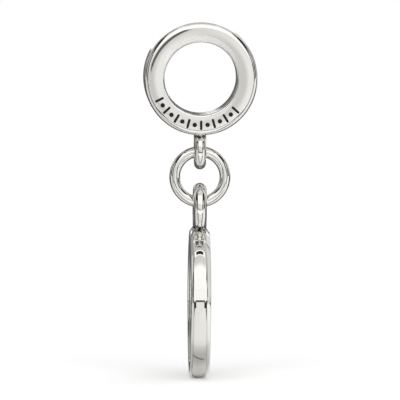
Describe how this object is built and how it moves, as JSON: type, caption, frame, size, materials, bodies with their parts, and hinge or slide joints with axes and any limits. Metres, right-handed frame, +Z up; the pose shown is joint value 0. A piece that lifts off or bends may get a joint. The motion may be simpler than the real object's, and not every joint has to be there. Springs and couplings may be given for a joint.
{
  "type": "dangle charm",
  "caption": "Polished silver dangle charm: a slip-on bead carries a jump ring and a round disc that hangs edge-on and swings freely.",
  "frame": {"origin": "centre of the bead's bore, where the bracelet that carries the charm passes through", "axes": "+Z up along the hanging charm; Y along the bore; X across the bore, with the disc's recessed front face towards -X"},
  "size_m": [0.007, 0.0094, 0.0221],
  "materials": {
    "silver": "bright polished and rhodium-plated sterling silver with fine handling marks"
  },
  "bodies": {
    "bead": {"bead": "silver"},
    "jump_ring": {"jump_ring": "silver"},
    "drop": {"drop": "silver"}
  },
  "joints": [
    {"name": "ring_swing", "type": "hinge", "parent": "bead", "child": "jump_ring", "pos_m": [0, 0, -0.00534], "axis": [0, 1, 0], "range_deg": [-60, 60]},
    {"name": "drop_swing", "type": "hinge", "parent": "jump_ring", "child": "drop", "pos_m": [0, 0, -0.00773], "axis": [1, 0, 0], "range_deg": [-105, 105]}
  ]
}
